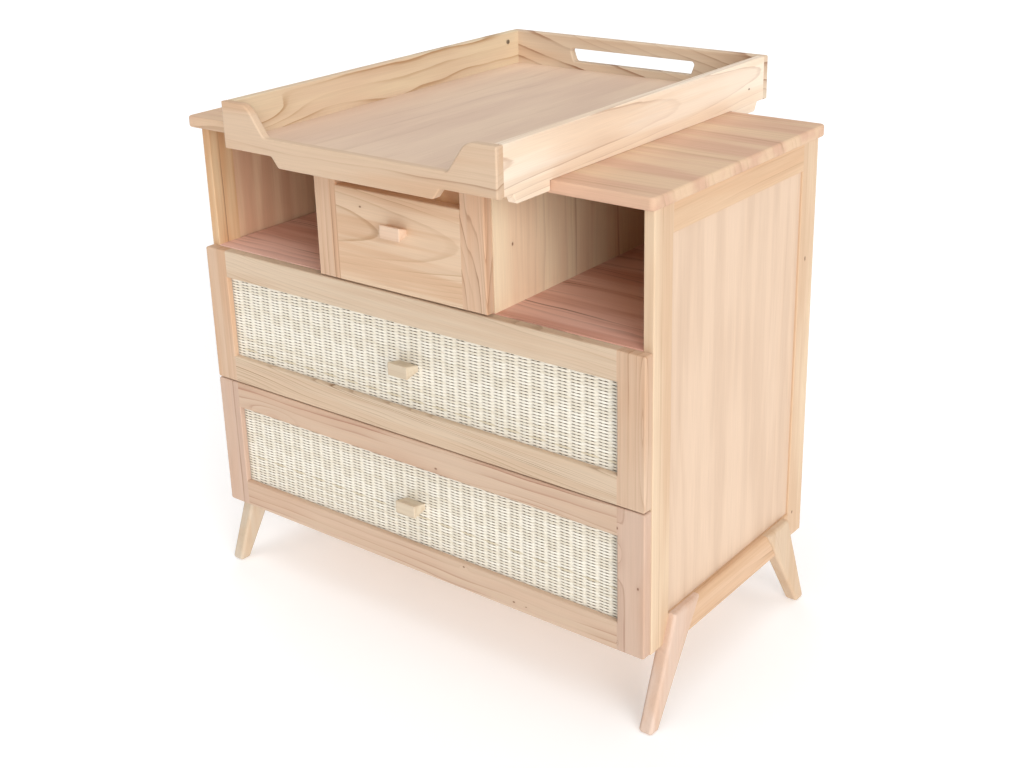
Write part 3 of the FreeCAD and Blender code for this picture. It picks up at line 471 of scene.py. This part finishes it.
def split_rattan(name):
    """Split rattan, peeled and dried. To the eye it is cream and satin, each strand a little
    different. A strand's tone comes from the tint attribute and from noise in patches. Its real
    fibres are 0.1 mm wide, too fine to show, so the patches are 33 mm long and as tall as a strand.
    Where it dives behind a stake the hidden attribute mixes it towards dark brown: painted shade for the slot
    beside the stake."""
    patch_long, patch_deep, patch_tall = 100 / 3, 50 / 3, 2.5
    strand_light, strand_dark, painted_slot_shade, tone_low, tone_high = "#F8F2E5", "#DDD0B6", "#574838", 0.3, 2.4
    made, tree, shader = blank_material(name)
    place = add(tree, "TexCoord", out="Object")
    tint = add(tree, "Attribute", out="Fac", attribute_name="tint")
    hidden = add(tree, "Attribute", out="Fac", attribute_name="hidden")
    per_metre = (1000.0 / patch_long, 1000.0 / patch_deep, 1000.0 / patch_tall)
    stretched = add(tree, "VectorMath", (place, per_metre), operation="MULTIPLY")
    patch = add(tree, "TexNoise", {"Vector": stretched, "Scale": 1.0, "Detail": 2.0})
    tone = add(tree, "Math", (tint, patch), operation="ADD")
    tone = add(tree, "MapRange", (tone, tone_low, tone_high))
    strand_colour = add(tree, "Mix", {0: tone, 6: linear(strand_light), 7: linear(strand_dark)}, 2, data_type="RGBA")
    # Painted shade: the colour is mixed towards dark brown where the strand passes behind a stake, and a little
    # on the stakes.
    colour = add(tree, "Mix", {0: hidden, 6: strand_colour, 7: linear(painted_slot_shade)}, 2, data_type="RGBA")
    tree.links.new(colour, shader.inputs["Base Color"])
    shader.inputs["Roughness"].default_value = 0.5
    return made


# Strands are 2.65 mm apart and stakes 25 mm, as on the real sheet, so each slot shows as a small
# dash, and each second row's dashes stand in line. One row in each sheet is browner.
STAKE_PITCH, ROW_PITCH = 25 * MM, 2.65 * MM
cane = split_rattan("split_rattan_cane")
backing_wood = oiled_timber("cane_backing_board", "X", heart=(0, -150, -300), tones=("#A98762", "#9C7A58"))
for drawer, dark_row in (("upper", 0.12), ("lower", 0.34)):
    sheet = woven_cane(drawer + "_cane_weave", drawer + "_cane_panel", STAKE_PITCH, ROW_PITCH, dark_row)
    sheet.data.materials.append(cane)
    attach(sheet, drawer + "_drawer")
    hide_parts(drawer + "_cane_panel")
    dress(backing_wood, drawer + "_cane_backing")


# ---------------------------------------------------------------- knobs
# A small hardwood block on each drawer, thicker at its front than at its neck, with
# softened arrises and its grain running across. A screw holds it from behind.

# All are plain and quiet: the small drawer's is pinker, and the large drawers' are grey-cream.
small_knob_wood = oiled_timber(
    "small_knob_wood", "X", heart=(0, -240, 100), tones=("#E4C7AE", "#DDBB9F"), ring=6, wander=2, bold=0.3)
large_knob_wood = oiled_timber(
    "large_knob_wood", "X", heart=(0, -240, 100), tones=("#D6C7B0", "#CCB9A0"), ring=6, wander=2, bold=0.3)
dress(small_knob_wood, "small_knob")
dress(large_knob_wood, "upper_knob", "lower_knob")


# ---------------------------------------------------------------- changing tray
# Four oiled hardwood boards, jointed and screwed round a flat floor, with the front
# dipping between two horns. It hooks over the worktop's front and back edges and
# lifts off.

tray_boards = {
    # Quiet, evenly spaced light brown lines.
    "tray_front_board": oiled_timber(
        "tray_front_wood", "X", heart=(31, -300, 560), tones=("#D2B79C", "#CDAA8B"), late="#8E5E3E",
        ring=14, wander=16, bold=0.7, line_share=0.5),
    # Slanting bold brown lines.
    "tray_back_board": oiled_timber(
        "tray_back_wood", "X", heart=(31, 300, 560), tones=("#DBC8B0", "#D6BCA1"), late="#8A5632",
        lean=(0.0, -0.24), ring=19, wander=12, bold=1.0, line_share=0.35, faint=0.7),
    # Long waves that swell round a burl near the front.
    "tray_left_board": oiled_timber(
        "tray_left_wood", "Y", heart=(-229, 0, 500), tones=("#DDC9AA", "#D6BCA0"), late="#A0703F",
        lean=(0.0, 0.012), ring=32, wander=30, bold=0.75, line_share=0.35, fray=0.09, faint=0.5,
        swells=[((-229, -315, 918), (80, 26), 1.7)]),
    # The palest board, cut near the heart: long pointed arches, and a knot by the back edge.
    "tray_right_board": oiled_timber(
        "tray_right_wood", "Y", heart=(246, 90, 926), tones=("#F1E0CC", "#ECD5BC"), late="#9A6238",
        lean=(-0.028, 0.0), ring=8, wander=4, bold=0.72, line_share=0.2, faint=0.4,
        knots=[((306, 315, 905), 2.6)]),
    # Greyer and almost plain, with broad soft bands.
    "tray_floor": oiled_timber(
        "tray_floor_wood", "Y", heart=(-500, 0, 820), tones=("#DCC3AC", "#D5BAA5"), late="#A88468",
        lean=(0.05, 0.0), ring=30, wander=30, bold=0.2, line_share=0.5, fray=0.08),
}
for name, wood in tray_boards.items():
    dress(wood, name)


# ---------------------------------------------------------------- floor, light and camera
# A white paper floor under broad soft light, which is strongest from the right and
# weaker from behind, and a view from the front right, a little above the worktop.
def white_paper(name):
    """Matt white paper, pressed smooth and lit from below as on a light table. To the eye it is an even white
    with no gloss. Its tone follows a noise in clouds 333 mm wide, painted shade for a loose sheet's waves."""
    cloud_width, cloud_dark, own_light = 1000 / 3, 0.985, 0.3
    made, tree, shader = blank_material(name)
    place = add(tree, "TexCoord", out="Object")
    # Painted shade: the noise darkens the paper by up to 1.5 % in broad clouds, for the waves of a loose sheet.
    mottle = add(tree, "TexNoise", {"Vector": place, "Scale": 1000.0 / cloud_width})
    tone = add(tree, "MapRange", {"Value": mottle, 3: cloud_dark, 4: 1.0})
    colour = add(tree, "VectorMath", {0: linear("#E6E6E6")[:3], "Scale": tone}, operation="SCALE")
    tree.links.new(colour, shader.inputs["Base Color"])
    shader.inputs["Roughness"].default_value = 0.9
    shader.inputs["Emission Color"].default_value = linear("#FFFFFF")
    shader.inputs["Emission Strength"].default_value = own_light
    return made


def studio_floor(half):
    """A flat square sheet at z = 0, from -half to half along x and y."""
    mesh = bpy.data.meshes.new("studio_floor")
    corners = [(-half, -half, 0), (half, -half, 0), (half, half, 0), (-half, half, 0)]
    mesh.from_pydata(corners, [], [(0, 1, 2, 3)])
    mesh.materials.append(white_paper("white_paper"))
    floor = bpy.data.objects.new("studio_floor", mesh)
    bpy.context.scene.collection.objects.link(floor)
    return floor


def soft_sun(name, azimuth, elevation, strength, spread, shine=True):
    """Even light from far off. The way to it is (sin azimuth cos elevation, -cos azimuth cos
    elevation, sin elevation), so azimuth turns right from the front. Spread is the light's width
    in degrees. Without shine it lights a surface but leaves no gloss on it."""
    lamp = bpy.data.lights.new(name, "SUN")
    lamp.energy = strength
    lamp.angle = math.radians(spread)
    made = bpy.data.objects.new(name, lamp)
    made.visible_glossy = shine
    bpy.context.scene.collection.objects.link(made)
    turn, lift = math.radians(azimuth), math.radians(elevation)
    toward = Vector((math.sin(turn) * math.cos(lift), -math.cos(turn) * math.cos(lift), math.sin(lift)))
    made.rotation_euler = toward.to_track_quat("Z", "Y").to_euler()


studio_floor(half=20.0)
soft_sun("key", azimuth=55, elevation=15, strength=2.26, spread=36)
soft_sun("side", azimuth=72, elevation=40, strength=0.42, spread=60)
soft_sun("fill", azimuth=-10, elevation=30, strength=0.2, spread=60)
soft_sun("top", azimuth=0, elevation=86, strength=1.6, spread=60)
soft_sun("back", azimuth=225, elevation=14, strength=1.15, spread=50, shine=False)

# The studio's far walls: white to the camera, and a dim even light to the dresser.
WALL_LIGHT, WALL_SEEN = 0.115, 1.0
world = bpy.data.worlds.new("studio")
world.use_nodes = True
walls = world.node_tree.nodes["Background"]
walls.inputs["Color"].default_value = linear("#FFFFFF")
seen = add(world.node_tree, "LightPath", out="Is Camera Ray")
glow = add(world.node_tree, "MapRange", {"Value": seen, 3: WALL_LIGHT, 4: WALL_SEEN})
world.node_tree.links.new(glow, walls.inputs["Strength"])
bpy.context.scene.world = world
bpy.context.scene.view_settings.view_transform = "Standard"

# The eye's place in metres, where it looks in degrees, and the lens in pixels of a 1024 pixel frame.
EYE = (1.50693, -1.87487, 1.43408)
AZIMUTH, ELEVATION, ROLL = 38.313, 20.554, -1.589
FRAME_WIDTH, FOCAL_PIXELS, SHIFT_PIXELS = 1024, 1458.80, -72.0
SENSOR, NEAREST, FARTHEST = 36.0, 0.05, 80.0
az, el, roll = (math.radians(v) for v in (AZIMUTH, ELEVATION, ROLL))
back = Vector((math.sin(az) * math.cos(el), -math.cos(az) * math.cos(el), math.sin(el)))
level = Vector((math.cos(az), math.sin(az), 0.0))
upright = back.cross(level)
right = level * math.cos(roll) + upright * math.sin(roll)
up = upright * math.cos(roll) - level * math.sin(roll)
lens = bpy.data.cameras.new("photo_camera")
lens.sensor_width = SENSOR
lens.lens = FOCAL_PIXELS * SENSOR / FRAME_WIDTH
lens.shift_y = SHIFT_PIXELS / FRAME_WIDTH
lens.clip_start, lens.clip_end = NEAREST, FARTHEST
camera = bpy.data.objects.new("photo_camera", lens)
bpy.context.scene.collection.objects.link(camera)
camera.matrix_world = Matrix.Translation(EYE) @ Matrix((right, up, back)).transposed().to_4x4()
bpy.context.scene.camera = camera
